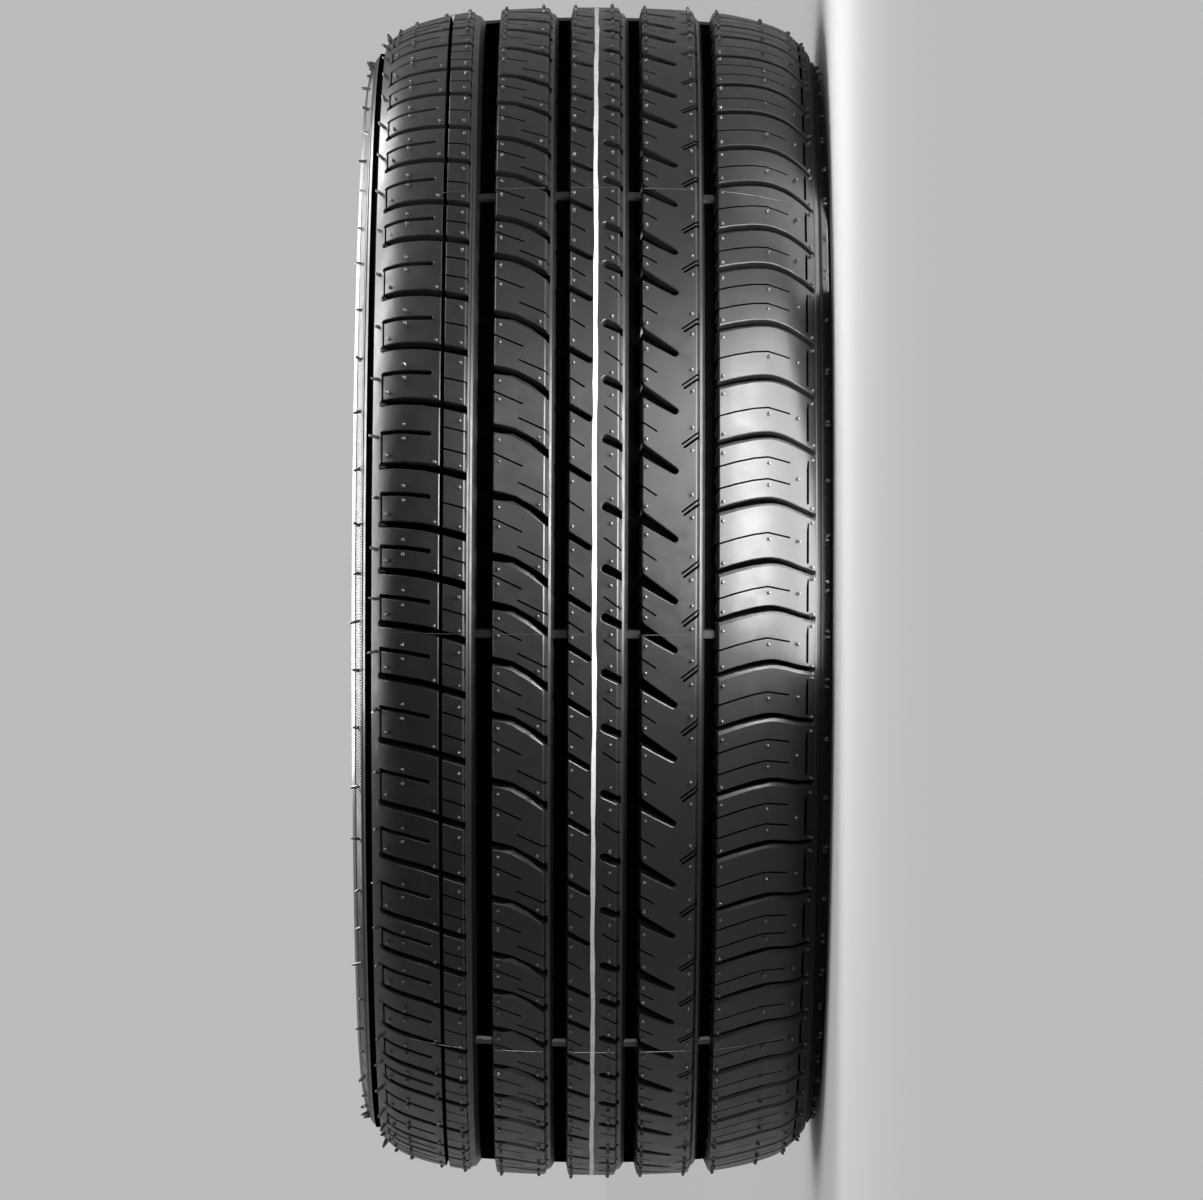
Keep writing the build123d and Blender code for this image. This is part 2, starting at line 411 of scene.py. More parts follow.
def between(x, places, values):
    """The value at x on a line of straight stretches, level beyond its ends."""
    step = bisect_right(places, x)
    if step == 0:
        return values[0]
    if step == len(places):
        return values[-1]
    share = (x - places[step - 1]) / (places[step] - places[step - 1])
    return values[step - 1] + (values[step] - values[step - 1]) * share


OUTER, REST = half_section()
HALF_LENGTHS = lengths_along(OUTER + REST)
OUTER_ACROSS = [across for _, across in OUTER]


def along(across):
    """Where a place across lies along the section, out to the widest place."""
    return copysign(between(abs(across), OUTER_ACROSS, HALF_LENGTHS), across)


def flat(route):
    """A route of (across, around) points on the flat."""
    return [(along(across), around) for across, around in route]


def ring_profile():
    """The rings that run round the tyre: matching lists of places along the section, depths and shades."""
    points = []
    for (near, far, near_run, far_run), wall in zip(ROUND_GROOVES, NEAR_WALLS):
        points += [(near + run, depth, 0.0) for run, depth in wall]
        points += [
            (near + near_run, ROUND_GROOVE_DEPTH, ROUND_GROOVE_DEPTH),
            (far - far_run, ROUND_GROOVE_DEPTH, ROUND_GROOVE_DEPTH),
            (far, EDGE_BREAK, 0.0),
            (far + EDGE_BREAK, 0.0, 0.0),
        ]
    half = THIN_GROOVE_WIDTH / 2
    for side in (-1, 1):
        points.append((THIN_GROOVE + side * (half + EDGE_BREAK), 0.0, 0.0))
        points.append((THIN_GROOVE + side * half, EDGE_BREAK, 0.0))
        # The thin groove's floor is marked with SHADE, for painted shade
        points.append((THIN_GROOVE + side * half * THIN_GROOVE_FLOOR_SHARE, THIN_GROOVE_DEPTH, SHADE))
    # The channel of the upper sidewall is marked with SHADE for painted shade; the lower sidewall's channel
    # is not
    for across, depth in (point for ring in UPPER_RINGS for point in ring):
        points.append((across, depth, SHADE if depth > 0 else 0.0))
    for across, depth in (point for ring in LOWER_RINGS for point in ring):
        points.append((across, depth, 0.0))
    points.sort()
    places, depths, shades = zip(*points)
    return [along(across) for across in places], depths, shades


RING_PLACES, RING_DEPTHS, RING_SHADES = ring_profile()
UNCUT_WALLS = [
    (along(near + stop) - TOUCH, along(near + near_run))
    for (near, _, near_run, _), stop in zip(ROUND_GROOVES, CUT_STOPS)
]


def phase_line():
    """The line across the tread where one pitch ends and the next starts, along the grooves between them."""
    route = [(-HALF_WIDTH, 0.0), *UPPER_GROOVE, *RIB_GROOVE, *CENTRE_NOTCH, *CENTRE_RIB_LINE, *RIB_NOTCH]
    route += [(ROUND_GROOVES[3][0], RIB_NOTCH[-1][1]), *LOWER_GROOVE, (HALF_WIDTH, 0.0)]
    points = flat(route)
    return [x for x, _ in points], [y for _, y in points]


PHASE_PLACES, PHASES = phase_line()


def phase(x):
    """How far round the tread the line between two pitches lies at a place along the section."""
    return between(x, PHASE_PLACES, PHASES)


def round_lines():
    """Lines round the tyre that every pitch has, as {place along the section: cells in a pitch}."""
    crown_end = len(CROWN_ARCS) * ARC_STEPS
    edge = HALF_LENGTHS[crown_end]
    lines = {x: TREAD_CELLS if abs(x) < edge else WALL_CELLS for x in RING_PLACES}
    lines.update({along(side * across): TREAD_CELLS for across in SHOULDER_LINES for side in (-1, 1)})
    for side in (-1, 1):
        lines.update({side * x: WALL_CELLS for x in HALF_LENGTHS[crown_end:len(OUTER)]})
        lines.update({side * x: BEAD_CELLS for x in HALF_LENGTHS[len(OUTER):]})
    return lines


def sizes_along(sizes, count):
    """Sizes spread evenly over a number of points."""
    places = [i / (len(sizes) - 1) for i in range(len(sizes))]
    return [between(i / (count - 1), places, sizes) for i in range(count)]


class PlacedCut:
    """One copy of a cut on the flat of a pitch."""

    def __init__(self, cut, length, shares):
        count = len(cut.route)
        moves = [share * length for share in sizes_along(shares, count)]
        self.route = [Vector((x, y + move)) for (x, y), move in zip(flat(cut.route), moves)]
        self.halves = [width / 2 for width in sizes_along(cut.widths, count)]
        self.depths = sizes_along(cut.depths, count)
        self.cut = cut
        margin = max(self.halves) + cut.chamfer
        self.low = Vector((min(p.x for p in self.route) - margin, min(p.y for p in self.route) - margin))
        self.high = Vector((max(p.x for p in self.route) + margin, max(p.y for p in self.route) + margin))
        self.is_sipe = cut.chamfer == 0
        self.ramps = sizes_along(cut.ramps, count)

    def depth(self, point):
        """How deep the cut is at a point of the flat."""
        if not (self.low.x < point.x < self.high.x and self.low.y < point.y < self.high.y):
            return 0.0
        best = None
        for i in range(len(self.route) - 1):
            start = self.route[i]
            step = self.route[i + 1] - start
            share = max(0.0, min(1.0, (point - start).dot(step) / step.length_squared))
            distance = (point - start - step * share).length
            if best is None or distance < best[0]:
                best = distance, i, share, step.cross(point - start)
        distance, i, share, side = best

        def here(sizes):
            return sizes[i] + (sizes[i + 1] - sizes[i]) * share

        half = here(self.halves)
        ramp = 0.0 if side > 0 else here(self.ramps)
        chamfer = self.cut.chamfer
        edge = half - ramp
        floor = 0.0 if self.is_sipe else edge - WALL_RUN
        edge_depth = chamfer + ramp * RAMP_SLOPE
        steps = (floor, edge + TINY, half + chamfer + 2 * TINY)
        return between(distance, steps, (here(self.depths), edge_depth, 0.0))

    def outline(self, uppers, lowers):
        """The closed line round the cut at the given distances above and below its route."""
        count = len(self.route)
        sides = ([], [])
        for i, point in enumerate(self.route):
            ahead = (self.route[min(i + 1, count - 1)] - self.route[max(i - 1, 0)]).normalized()
            normal = Vector((-ahead.y, ahead.x))
            sides[0].append(point + normal * uppers[i])
            sides[1].append(point - normal * lowers[i])
        end_cap = [] if self.cut.open_end else self.cap(-1, uppers[-1], lowers[-1], sides[0][-1])
        start_cap = [] if self.cut.open_start else self.cap(0, lowers[0], uppers[0], sides[1][0])
        return sides[0] + end_cap + sides[1][::-1] + start_cap

    def cap(self, end, first, last, start):
        """The round end of an outline, turned from one side of the cut to the other."""
        steps = SIPE_CAP_STEPS if self.is_sipe else CAP_STEPS
        spoke = (start - self.route[end]).normalized()
        points = []
        for k in range(1, steps):
            share = k / steps
            reach = first + (last - first) * share
            points.append(self.route[end] + Matrix.Rotation(-pi * share, 2) @ spoke * reach)
        return points

    def lines(self):
        """Every line that the mesh needs for the cut, as (points, closed)."""
        rim = [half + self.cut.chamfer for half in self.halves]
        if self.is_sipe:
            return [(self.outline(rim, rim), True), (self.route, False)]
        lower_edge = [half - ramp for half, ramp in zip(self.halves, self.ramps)]
        upper_floor = [half - WALL_RUN for half in self.halves]
        lower_floor = [edge - WALL_RUN for edge in lower_edge]
        return [
            (self.outline(rim, rim), True),
            (self.outline(self.halves, lower_edge), True),
            (self.outline(upper_floor, lower_floor), True),
        ]


def pitch_mesh(name, length, sipe_shares):
    """One pitch of the whole section on the flat, cut along the grooves that part it from the next."""
    all_cuts = BOUNDARY_CUTS + inner_cuts(sipe_shares)
    cuts = [PlacedCut(cut, length, shares) for cut in all_cuts for shares in cut.shares]
    points = []
    edges = []

    def lay(line, closed):
        first = len(points)
        points.extend(Vector(point) for point in line)
        edges.extend((i, i + 1) for i in range(first, len(points) - 1))
        if closed:
            edges.append((len(points) - 1, first))

    lines = round_lines()
    for x, cells in lines.items():
        lay([(x, phase(x) + length * k / cells) for k in range(cells + 1)], False)
    bound = sorted(lines | dict.fromkeys(PHASE_PLACES))
    for start in (0.0, length):
        lay([(x, phase(x) + start) for x in bound], False)
    for cut in cuts:
        for line, closed in cut.lines():
            lay(line, closed)
    spots, _, faces, *_ = delaunay_2d_cdt(points, edges, [], 0, MERGE_DISTANCE)

    def is_inside(face):
        x = sum(spots[i].x for i in face) / 3
        y = sum(spots[i].y for i in face) / 3
        return 0.0 < y - phase(x) < length

    faces = [face for face in faces if is_inside(face)]
    used = sorted({i for face in faces for i in face})
    new_index = {old: new for new, old in enumerate(used)}
    vertices = []
    shades = []
    for i in used:
        # shade: how deep a point lies, or SHADE in sipes and black rings; it picks the painted shade rubber
        depth = between(spots[i].x, RING_PLACES, RING_DEPTHS)
        shade = between(spots[i].x, RING_PLACES, RING_SHADES)
        if depth >= 0 and not any(start < spots[i].x < end for start, end in UNCUT_WALLS):
            for cut in cuts:
                cut_depth = cut.depth(spots[i])
                depth = max(depth, cut_depth)
                # Sipes are marked for painted shade all through, other cuts by their depth
                shade = max(shade, SHADE if cut.is_sipe and cut_depth > EDGE_BREAK else cut_depth)
        vertices.append((spots[i].x * MM, spots[i].y * MM, -depth * MM))
        shades.append(shade)
    mesh = bpy.data.meshes.new(name)
    mesh.from_pydata(vertices, [], [[new_index[i] for i in face] for face in faces])
    mesh.attributes.new("shade", "FLOAT", "POINT").data.foreach_set("value", shades)
    return mesh


def pitch_starts():
    """(start round the tread, length, size) of every pitch."""
    scale = 2 * pi * RADIUS / sum(PITCH_LENGTHS[size] for size in PITCH_SEQUENCE)
    starts = []
    start = 0.0
    for size in PITCH_SEQUENCE:
        length = PITCH_LENGTHS[size] * scale
        starts.append((start, length, size))
        start += length
    return starts


def add(tree, kind, feeds=None, **settings):
    """Adds a node with settings, and feeds its inputs, by name or place, values or other nodes' outputs."""
    node = tree.nodes.new(kind)
    for name, value in settings.items():
        setattr(node, name, value)
    for key, source in (feeds or {}).items():
        if isinstance(source, bpy.types.NodeSocket):
            tree.links.new(source, node.inputs[key])
        else:
            node.inputs[key].default_value = source
    return node


def new_tree(name, inputs):
    """A geometry tree with a Geometry input and output and the named inputs, and its input node."""
    tree = bpy.data.node_groups.new(name, "GeometryNodeTree")
    for label, kind in {"Geometry": "Geometry", **inputs}.items():
        tree.interface.new_socket(label, in_out="INPUT", socket_type="NodeSocket" + kind)
    tree.interface.new_socket("Geometry", in_out="OUTPUT", socket_type="NodeSocketGeometry")
    return tree, add(tree, "NodeGroupInput")


def wrap_tree():
    """Bends what lies on the flat round the section and round the spin axis."""
    tree, given = new_tree("Wrap round tyre", {
        "Section": "Object", "Tread Radius": "Float", "First Turn": "Float",
    })
    place = add(tree, "ShaderNodeSeparateXYZ", {0: add(tree, "GeometryNodeInputPosition").outputs[0]})
    section = add(tree, "GeometryNodeObjectInfo", {"Object": given.outputs["Section"]}).outputs["Geometry"]
    whole = add(tree, "GeometryNodeCurveLength", {0: section}).outputs[0]
    from_seam = add(tree, "ShaderNodeMath", {
        0: whole, 1: 0.5, 2: place.outputs["X"],
    }, operation="MULTIPLY_ADD")
    spot = add(tree, "GeometryNodeSampleCurve", {
        "Curves": section, "Length": from_seam.outputs[0],
    }, mode="LENGTH")
    outward = add(tree, "ShaderNodeVectorMath", {
        0: spot.outputs["Tangent"], 1: (0.0, 1.0, 0.0),
    }, operation="CROSS_PRODUCT")
    raised = add(tree, "ShaderNodeVectorMath", {
        0: outward.outputs[0], 1: place.outputs["Z"], 2: spot.outputs["Position"],
    }, operation="MULTIPLY_ADD")
    turn = add(tree, "ShaderNodeMath", {
        0: place.outputs["Y"], 1: given.outputs["Tread Radius"],
    }, operation="DIVIDE")
    turn = add(tree, "ShaderNodeMath", {0: turn.outputs[0], 1: given.outputs["First Turn"]}, operation="ADD")
    turned = add(tree, "ShaderNodeVectorRotate", {
        "Vector": raised.outputs[0], "Angle": turn.outputs[0],
    }, rotation_type="Z_AXIS")
    moved = add(tree, "GeometryNodeSetPosition", {
        "Geometry": given.outputs["Geometry"], "Position": turned.outputs[0],
    })
    add(tree, "NodeGroupOutput", {0: moved.outputs[0]})
    return tree


def repeat_tree(wrap):
    """Puts shapes on the points of the flat, each leaning and stretched a little, and wraps them round."""
    tree, given = new_tree("Repeat round tyre", {
        "Shapes": "Collection", "Lean": "Float", "Shortest": "Float", "Longest": "Float", "Seed": "Int",
        "Section": "Object", "Tread Radius": "Float", "First Turn": "Float", "Seam": "Float",
        "Finish": "Material", "Painted Shade Depth": "Float", "Painted Shade Finish": "Material",
    })

    def drawn(least, most, draw):
        """A random value between two limits. Each draw has the seed after the last one's."""
        seed = add(tree, "FunctionNodeIntegerMath", {0: given.outputs["Seed"], 1: draw}, operation="ADD")
        value = add(tree, "FunctionNodeRandomValue", {
            2: least, 3: most, "Seed": seed.outputs[0],
        }, data_type="FLOAT")
        return value.outputs[1]

    shapes = add(tree, "GeometryNodeCollectionInfo", {
        "Collection": given.outputs["Shapes"], "Separate Children": True,
    })
    most_lean = given.outputs["Lean"]
    least_lean = add(tree, "ShaderNodeMath", {0: most_lean, 1: -1.0}, operation="MULTIPLY").outputs[0]
    lean = add(tree, "ShaderNodeCombineXYZ", {
        "X": drawn(least_lean, most_lean, 0), "Y": drawn(least_lean, most_lean, 1),
    })
    scale = add(tree, "ShaderNodeCombineXYZ", {
        "X": 1.0, "Y": 1.0, "Z": drawn(given.outputs["Shortest"], given.outputs["Longest"], 2),
    })
    which = add(tree, "GeometryNodeInputNamedAttribute", {"Name": "shape"}, data_type="INT")
    placed = add(tree, "GeometryNodeInstanceOnPoints", {
        "Points": given.outputs["Geometry"], "Instance": shapes.outputs[0], "Pick Instance": True,
        "Instance Index": which.outputs[0], "Rotation": lean.outputs[0], "Scale": scale.outputs[0],
    })
    real = add(tree, "GeometryNodeRealizeInstances", {0: placed.outputs[0]})
    wrapped = add(tree, "GeometryNodeGroup", {
        "Geometry": real.outputs[0], "Section": given.outputs["Section"],
        "Tread Radius": given.outputs["Tread Radius"], "First Turn": given.outputs["First Turn"],
    }, node_tree=wrap)
    joined = add(tree, "GeometryNodeMergeByDistance", {
        "Geometry": wrapped.outputs[0], "Distance": given.outputs["Seam"],
    })
    finished = add(tree, "GeometryNodeSetMaterial", {
        "Geometry": joined.outputs[0], "Material": given.outputs["Finish"],
    })
    # Painted shade: faces whose shade is above the given depth get the near-black rubber without sheen
    shade = add(tree, "GeometryNodeInputNamedAttribute", {"Name": "shade"}, data_type="FLOAT")
    is_painted_shade = add(tree, "FunctionNodeCompare", {
        0: shade.outputs[0], 1: given.outputs["Painted Shade Depth"],
    }, operation="GREATER_THAN")
    painted_shade_set = add(tree, "GeometryNodeSetMaterial", {
        "Geometry": finished.outputs[0], "Selection": is_painted_shade.outputs[0],
        "Material": given.outputs["Painted Shade Finish"],
    })
    add(tree, "NodeGroupOutput", {0: painted_shade_set.outputs[0]})
    return tree


def section_line():
    """The section as a line in the plane of +X and the spin axis, from the inner liner round to itself."""
    half = OUTER + REST
    points = [(radius, -across) for radius, across in half[:0:-1]] + half
    curve = bpy.data.curves.new("section", "CURVE")
    curve.dimensions = "3D"
    spline = curve.splines.new("POLY")
    spline.points.add(len(points) - 1)
    for point, (radius, across) in zip(spline.points, points):
        point.co = (radius * MM, 0.0, -across * MM, 1.0)
    line = bpy.data.objects.new("section", curve)
    bpy.context.scene.collection.objects.link(line)
    return line


SECTION = section_line()
REPEAT = repeat_tree(wrap_tree())


def repeated(
    name, shapes, places, finish, lean=0.0, lengths=(1.0, 1.0), seam=0.0, turn=FIRST_TURN, painted_shade_finish=None
):
    """A piece made of flat shapes at (x, y, which shape) places of the flat, wrapped round the tyre."""
    group = bpy.data.collections.new(name + "_shapes")
    bpy.context.scene.collection.children.link(group)
    for i, mesh in enumerate(shapes):
        group.objects.link(bpy.data.objects.new(f"{name}_shape_{i}", mesh))
    points = bpy.data.meshes.new(name)
    points.from_pydata([(x * MM, y * MM, 0.0) for x, y, _ in places], [], [])
    choices = points.attributes.new("shape", "INT", "POINT")
    choices.data.foreach_set("value", [which for _, _, which in places])
    piece = bpy.data.objects.new(name, points)
    bpy.context.scene.collection.objects.link(piece)
    modifier = piece.modifiers.new("repeat", "NODES")
    modifier.node_group = REPEAT
    values = {
        "Shapes": group, "Lean": lean, "Shortest": lengths[0], "Longest": lengths[1], "Seed": SEED,
        "Section": SECTION, "Tread Radius": RADIUS * MM, "First Turn": turn, "Seam": seam,
        "Finish": finish, "Painted Shade Depth": PAINTED_SHADE_DEPTH, "Painted Shade Finish": painted_shade_finish or finish,
    }
    for socket in REPEAT.interface.items_tree:
        if socket.name in values:
            modifier[socket.identifier] = values[socket.name]
    whole = piece.evaluated_get(bpy.context.evaluated_depsgraph_get())
    piece.data = bpy.data.meshes.new_from_object(whole)
    piece.modifiers.remove(modifier)
    piece.data.name = name
    for shape in list(group.objects):
        bpy.data.objects.remove(shape)
    bpy.data.collections.remove(group)
    return piece


def prism(outline, rings):
    """Vertices and faces of a closed shape: outline points (x, y) at each ring's (size, z)."""
    vertices = [(x * size, y * size, z) for size, z in rings for x, y in outline]
    count = len(outline)
    faces = [list(range(count))[::-1], [count * (len(rings) - 1) + i for i in range(count)]]
    for ring in range(len(rings) - 1):
        for i in range(count):
            j = (i + 1) % count
            low = ring * count
            faces.append([low + i, low + j, low + count + j, low + count + i])
    return vertices, faces


def flat_mesh(name, *solids):
    """A mesh on the flat from solids given as vertices in millimetres and faces."""
    vertices = []
    faces = []
    for points, sides in solids:
        first = len(vertices)
        vertices += [(x * MM, y * MM, z * MM) for x, y, z in points]
        faces += [[first + i for i in side] for side in sides]
    mesh = bpy.data.meshes.new(name)
    mesh.from_pydata(vertices, [], faces)
    return mesh


def bar(stations, half_top, half_foot):
    """A low bar with sloping sides that follows stations of (x, foot, top) along x."""
    points = []
    for x, foot, top in stations:
        points += [(x, -half_foot, foot), (x, half_foot, foot), (x, half_top, top), (x, -half_top, top)]
    last = len(points) - 4
    faces = [[0, 1, 2, 3][::-1], [last, last + 1, last + 2, last + 3]]
    for first in range(0, last, 4):
        for i in range(4):
            j = (i + 1) % 4
            faces.append([first + i, first + j, first + 4 + j, first + 4 + i])
    return points, faces


def shade_smooth(piece, sharpest):
    """Shades a piece smooth, but for edges sharper than the angle given."""
    piece.data.polygons.foreach_set("use_smooth", [True] * len(piece.data.polygons))
    piece.data.set_sharp_from_angle(angle=sharpest)


def tyre_body(rubber, painted_shade_rubber):
    """The moulded tyre itself: every pitch of the pattern, wrapped and joined."""
    starts = pitch_starts()
    sizes = sorted(PITCH_LENGTHS)
    lengths = {size: length for _, length, size in starts}
    shapes = [pitch_mesh("pitch_" + size, lengths[size], SIPE_SHARES[size]) for size in sizes]
    places = [(0.0, start, sizes.index(size)) for start, _, size in starts]
    # Deep faces, sipes and the upper channel take the painted shade rubber
    body = repeated("tyre_body", shapes, places, rubber, seam=SEAM, painted_shade_finish=painted_shade_rubber)
    shade_smooth(body, BODY_SMOOTHING)
    return body


def vent_places(vents, sipe_vents=()):
    """Where whiskers stand: at the vents of each pitch, and beside each long sipe."""
    places = []
    for start, length, size in pitch_starts():
        at_sipes = [(*vent, share) for vent in sipe_vents for share in SIPE_SHARES[size]]
        for across, around, share in (*vents, *at_sipes):
            places.append((along(across), start + around + share * length, 0))
    return places


def vent_whiskers(name, places, lengths, lean, rubber):
    """Whiskers of rubber that the mould's vents left standing."""
    turns = [2 * pi * k / VENT_SIDES for k in range(VENT_SIDES)]
    outline = [(cos(turn) * VENT_WIDTH / 2, sin(turn) * VENT_WIDTH / 2) for turn in turns]
    shape = flat_mesh("whisker", prism(outline, VENT_RINGS))
    piece = repeated(name, [shape], places, rubber, lean, lengths)
    shade_smooth(piece, WHISKER_SMOOTHING)
    return piece


def at_parting_lines(name, solids, rubber):
    """A piece that stands at every line where two segments of the mould met."""
    gap = 2 * pi * RADIUS / PARTING_LINES
    places = [(0.0, gap * k, 0) for k in range(PARTING_LINES)]
    return repeated(name, [flat_mesh(name, *solids)], places, rubber, turn=PARTING_TURN)


def flash_lines(rubber):
    """Threads of flash over the ribs, where rubber crept between the segments of the mould."""
    solids = []
    edges = [-EDGE_REACH, *(edge for groove in ROUND_GROOVES for edge in groove[:2]), EDGE_REACH]
    for near, far in zip(edges[::2], edges[1::2]):
        steps = max(2, round((far - near) / FLASH_STEP))
        start = near + FLASH_INSETS[0]
        reach = far - near - sum(FLASH_INSETS)
        stations = [(along(start + reach * k / steps), FLASH_ROOT, FLASH_HEIGHT) for k in range(steps + 1)]
        solids.append(bar(stations, FLASH_TOP_WIDTH / 2, FLASH_WIDTH / 2))
    return at_parting_lines("flash_lines", solids, rubber)


def wear_bars(rubber):
    """Low bars across the floors of the round grooves, which show when the tread is worn."""
    solids = []
    floor = -ROUND_GROOVE_DEPTH
    top = floor + WEAR_BAR_HEIGHT
    half = WEAR_BAR_LENGTH / 2
    for near, far, near_run, far_run in ROUND_GROOVES:
        ends = (along(near + WEAR_BAR_REACH * near_run), along(far - WEAR_BAR_REACH * far_run))
        solids.append(bar([(x, floor - WEAR_BAR_ROOT, top) for x in ends], half - WEAR_BAR_SLOPE, half))
    return at_parting_lines("wear_bars", solids, rubber)


def sidewall_serrations(rubber):
    """A band of fine radial ridges on each sidewall."""
    count = round(2 * pi * RADIUS / SERRATION_SPACING)
    gap = 2 * pi * RADIUS / count
    shapes = []
    for side in (-1, 1):
        ends = sorted(along(side * across) for across in SERRATION_REACH)
        stations = [(x, SERRATION_ROOT, SERRATION_HEIGHT) for x in ends]
        ridge = bar(stations, SERRATION_TOP_WIDTH / 2, gap * SERRATION_FOOT_SHARE)
        shapes.append(flat_mesh("serration", ridge))
    places = [(0.0, gap * k, which) for which in (0, 1) for k in range(count)]
    return repeated("sidewall_serrations", shapes, places, rubber)


def paint_line(paint):
    """The thin white line that marks the tyre at the factory, not quite straight."""
    points = []
    for k in range(PAINT_STEPS):
        turn = 2 * pi * k / PAINT_STEPS
        middle = PAINT_LINE + sum(size * sin(waves * turn + shift) for size, waves, shift in PAINT_SWAYS)
        half = PAINT_WIDTH / 2 + sum(size * sin(waves * turn + shift) for size, waves, shift in PAINT_SWELLS)
        left, right = middle - half, middle + half
        rim = ((left, PAINT_ROOT), (left, PAINT_THICKNESS), (right, PAINT_THICKNESS), (right, PAINT_ROOT))
        points += [(x, turn * RADIUS, z) for x, z in rim]
    faces = []
    for k in range(PAINT_STEPS):
        for i in range(4):
            j = (i + 1) % 4
            after = (k + 1) % PAINT_STEPS * 4
            faces.append([k * 4 + i, k * 4 + j, after + j, after + i])
    return repeated("paint_line", [flat_mesh("paint_line", (points, faces))], [(0.0, 0.0, 0)], paint)


def linear(code):
    """An sRGB hex colour as the linear colour that the shaders use."""
    levels = [int(code[i:i + 2], 16) / 255 for i in (1, 3, 5)]
    return (*(x / 12.92 if x <= 0.04045 else ((x + 0.055) / 1.055) ** 2.4 for x in levels), 1.0)


def material(name):
    """An empty material, its tree and its surface shader."""
    made = bpy.data.materials.new(name)
    made.use_nodes = True
    return made, made.node_tree, made.node_tree.nodes["Principled BSDF"]


def mottle(tree, size, detail):
    """Uneven patches of a size in millimetres, from 0 to 1."""
    place = add(tree, "ShaderNodeTexCoord").outputs["Object"]
    noise = add(tree, "ShaderNodeTexNoise", {"Vector": place, "Scale": 1 / (size * MM), "Detail": detail})
    return noise.outputs[0]


def tint(tree, shader, pattern, first, second):
    """Colours a surface with two colours, mixed by a pattern."""
    mix = add(tree, "ShaderNodeMix", {
        "Factor": pattern, "A": linear(first), "B": linear(second),
    }, data_type="RGBA")
    tree.links.new(mix.outputs["Result"], shader.inputs["Base Color"])


def roughen(tree, shader, pattern, strength):
    """Gives a surface the fine relief of a pattern."""
    relief = add(tree, "ShaderNodeBump", {
        "Strength": strength, "Distance": GRAIN_DEPTH * MM, "Height": pattern,
    })
    tree.links.new(relief.outputs[0], shader.inputs["Normal"])


def moulded_rubber():
    """New tyre rubber, vulcanised in a steel mould.

    Carbon black makes it nearly black, and the film of wax and mould release gives it a soft satin sheen
    that is a little uneven, with a fine grain where the mould was blasted.
    """
    made, tree, shader = material("tyre_rubber_moulded_satin")
    tint(tree, shader, mottle(tree, BLOOM_SIZE, 4.0), "#17181a", "#1f2022")
    sheen = add(tree, "ShaderNodeMapRange", {
        "Value": mottle(tree, FILM_SIZE, 5.0),
        "From Min": 0.3, "From Max": 0.7, "To Min": 0.36, "To Max": 0.48,
    })
    tree.links.new(sheen.outputs[0], shader.inputs["Roughness"])
    roughen(tree, shader, mottle(tree, GRAIN_SIZE, 2.0), 0.12)
    shader.inputs["IOR"].default_value = 1.52
    return made


def painted_groove_shade():
    """The same rubber low in the grooves, the sipes and the upper sidewall's channel, rough, with a
    near-black
    colour and no sheen: painted shade for the shade that falls deep in them.
    """
    made, tree, shader = material("tyre_rubber_groove_painted_shade")
    grain = mottle(tree, GRAIN_SIZE, 2.0)
    # Painted shade: a near-black colour, and below no sheen, for the shade deep in the grooves
    tint(tree, shader, grain, "#020202", "#050505")
    roughen(tree, shader, grain, 0.3)
    shader.inputs["Roughness"].default_value = 0.9
    shader.inputs["Specular IOR Level"].default_value = 0.0
    return made


def painted_highlight_whisker_rubber():
    """Rubber drawn into the mould's polished vents: glossier than the moulded faces, so that it glints, and
    painted paler than the moulded rubber, a painted highlight that shows whiskers and flash as bright marks.
    """
    made, _, shader = material("tyre_rubber_whisker_glossy_painted_highlight")
    # Painted highlight: a paler colour than the same rubber elsewhere
    shader.inputs["Base Color"].default_value = linear("#434447")
    shader.inputs["Roughness"].default_value = 0.25
    shader.inputs["IOR"].default_value = 1.7
    return made


def marking_paint():
    """White marking paint, rolled on in one thin coat: flat and slightly patchy over the rubber."""
    made, tree, shader = material("marking_paint_white_flat")
    tint(tree, shader, mottle(tree, PATCH_SIZE, 4.0), "#c4c5c4", "#ffffff")
    shader.inputs["Roughness"].default_value = 0.6
    return made


def studio_floor():
    """A floor of pale matt paper, which gives no sheen, wide enough to pass out of sight."""
    made, _, shader = material("floor_paper_matt")
    shader.inputs["Base Color"].default_value = linear("#e9e9e9")
    shader.inputs["Roughness"].default_value = 1.0
    shader.inputs["Specular IOR Level"].default_value = 0.0
    sides = ((-1, -1), (1, -1), (1, 1), (-1, 1))
    corners = [(x * FLOOR_REACH, y * FLOOR_REACH, -HALF_WIDTH * MM) for x, y in sides]
    mesh = bpy.data.meshes.new("floor")
    mesh.from_pydata(corners, [], [[0, 1, 2, 3]])
    mesh.materials.append(made)
    floor = bpy.data.objects.new("floor", mesh)
    bpy.context.scene.collection.objects.link(floor)


def soft_light(name, place, target, size, power):
    """A softbox of the given width and height at a place, facing a target and itself out of sight."""
    lamp = bpy.data.lights.new(name, "AREA")
    lamp.shape = "RECTANGLE"
    lamp.size, lamp.size_y = size
    lamp.energy = power
    box = bpy.data.objects.new(name, lamp)
    box.location = place
    box.rotation_euler = (Vector(target) - Vector(place)).to_track_quat("-Z", "Y").to_euler()
    box.visible_camera = False
    bpy.context.scene.collection.objects.link(box)


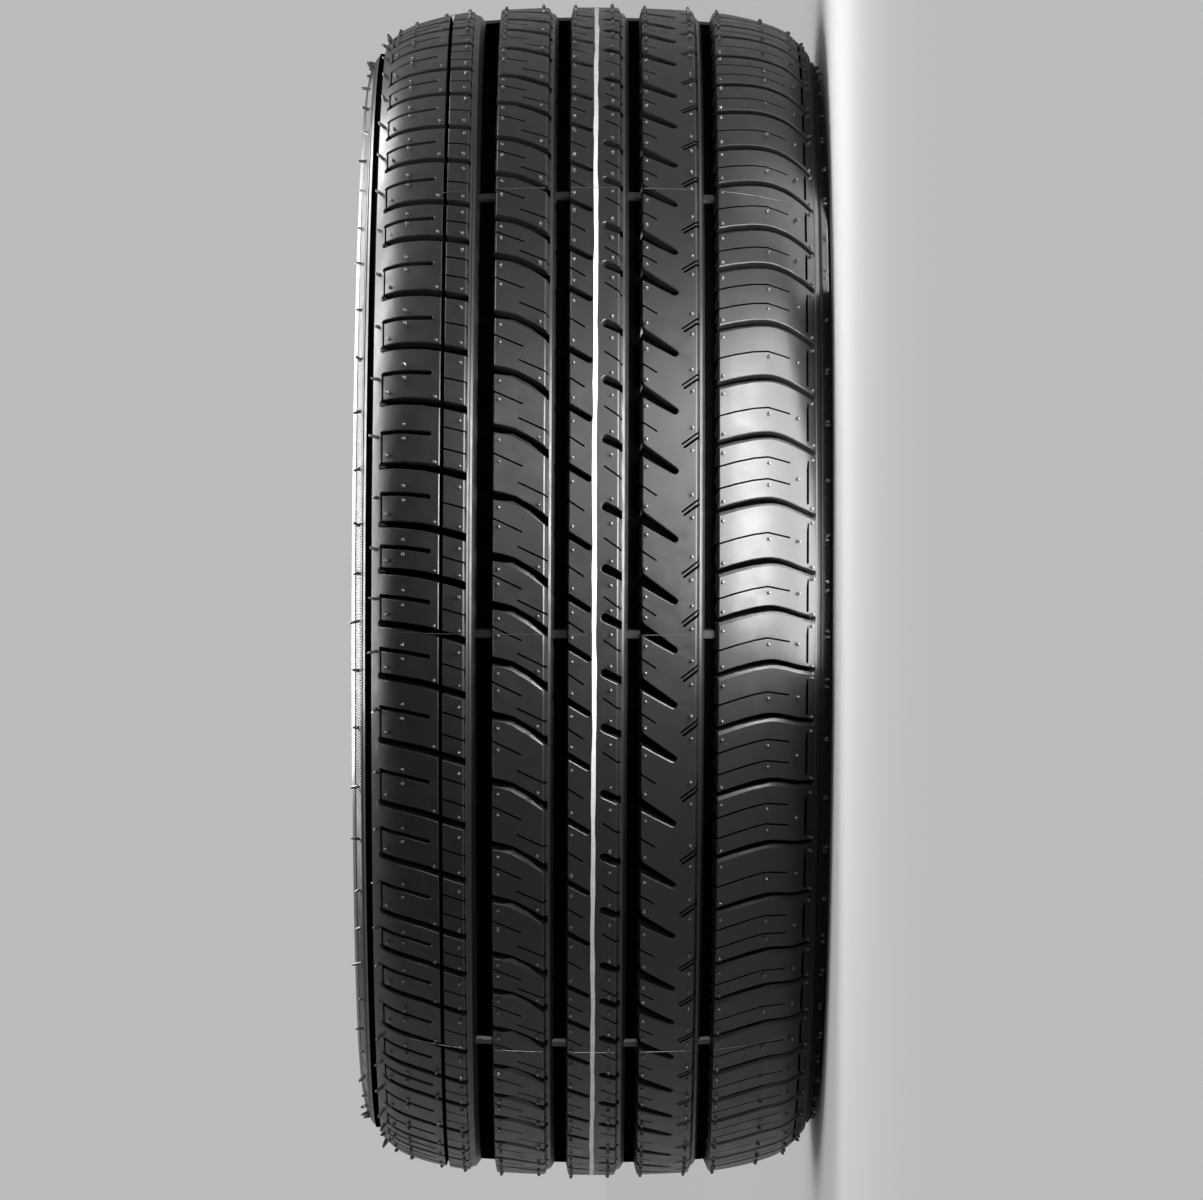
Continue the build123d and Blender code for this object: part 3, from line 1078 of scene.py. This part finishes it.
def studio_light():
    """A pale studio that is dimmer behind the camera, a wide soft ceiling light and the softboxes."""
    world = bpy.data.worlds.new("studio")
    world.use_nodes = True
    tree = world.node_tree
    way = add(tree, "ShaderNodeSeparateXYZ", {0: add(tree, "ShaderNodeTexCoord").outputs["Generated"]})
    glow = add(tree, "ShaderNodeMapRange", {
        "Value": way.outputs["Y"], "From Min": -0.3, "From Max": 0.4, "To Min": 0.08, "To Max": 0.5,
    })
    tree.nodes["Background"].inputs["Color"].default_value = linear("#ffffff")
    tree.links.new(glow.outputs[0], tree.nodes["Background"].inputs["Strength"])
    bpy.context.scene.world = world
    ceiling = bpy.data.lights.new("ceiling", "SUN")
    ceiling.energy = CEILING_POWER
    ceiling.angle = CEILING_SPREAD
    bpy.context.scene.collection.objects.link(bpy.data.objects.new("ceiling", ceiling))
    for softbox in SOFTBOXES:
        soft_light(*softbox)


def photo_camera():
    """The camera of the photograph, square on to the tread and lying on its side."""
    lens = bpy.data.cameras.new("camera")
    lens.lens = CAMERA_LENS
    lens.sensor_width = CAMERA_SENSOR
    lens.shift_x, lens.shift_y = (shift / PICTURE_WIDTH for shift in PICTURE_SHIFTS)
    lens.clip_end = CAMERA_REACH
    camera = bpy.data.objects.new("camera", lens)
    right, up, back = Vector((0, 0, -1)), Vector((1, 0, 0)), Vector((0, -1, 0))
    turn = Matrix((right, up, back)).transposed().to_4x4()
    roll = Matrix.Rotation(CAMERA_ROLL, 4, "Z")
    camera.matrix_world = Matrix.Translation(back * CAMERA_DISTANCE * RADIUS * MM) @ turn @ roll
    bpy.context.scene.collection.objects.link(camera)
    bpy.context.scene.camera = camera


photo_camera()
studio_floor()
studio_light()
bpy.context.scene.view_settings.view_transform = "Standard"

rubber = moulded_rubber()
# A paler copy of the same rubber for whiskers and flash threads: a painted highlight
painted_highlight_rubber = painted_highlight_whisker_rubber()
body = tyre_body(rubber, painted_groove_shade())
tread_places = vent_places(TREAD_VENTS, (SIPE_VENT,))
upper_places = vent_places(UPPER_WALL_VENTS)
lower_places = vent_places(LOWER_WALL_VENTS)
pieces = [
    body,
    vent_whiskers("tread_whiskers", tread_places, TREAD_VENT_LENGTHS, TREAD_VENT_LEAN, painted_highlight_rubber),
    vent_whiskers("upper_wall_whiskers", upper_places, UPPER_WALL_VENT_LENGTHS, WALL_VENT_LEAN, painted_highlight_rubber),
    vent_whiskers("lower_wall_whiskers", lower_places, LOWER_WALL_VENT_LENGTHS, WALL_VENT_LEAN, painted_highlight_rubber),
    flash_lines(painted_highlight_rubber),
    wear_bars(rubber),
    sidewall_serrations(rubber),
]
for piece in pieces:
    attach(piece, "root")
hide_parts("tyre")
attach(paint_line(marking_paint()), "root")
bpy.data.objects.remove(SECTION)
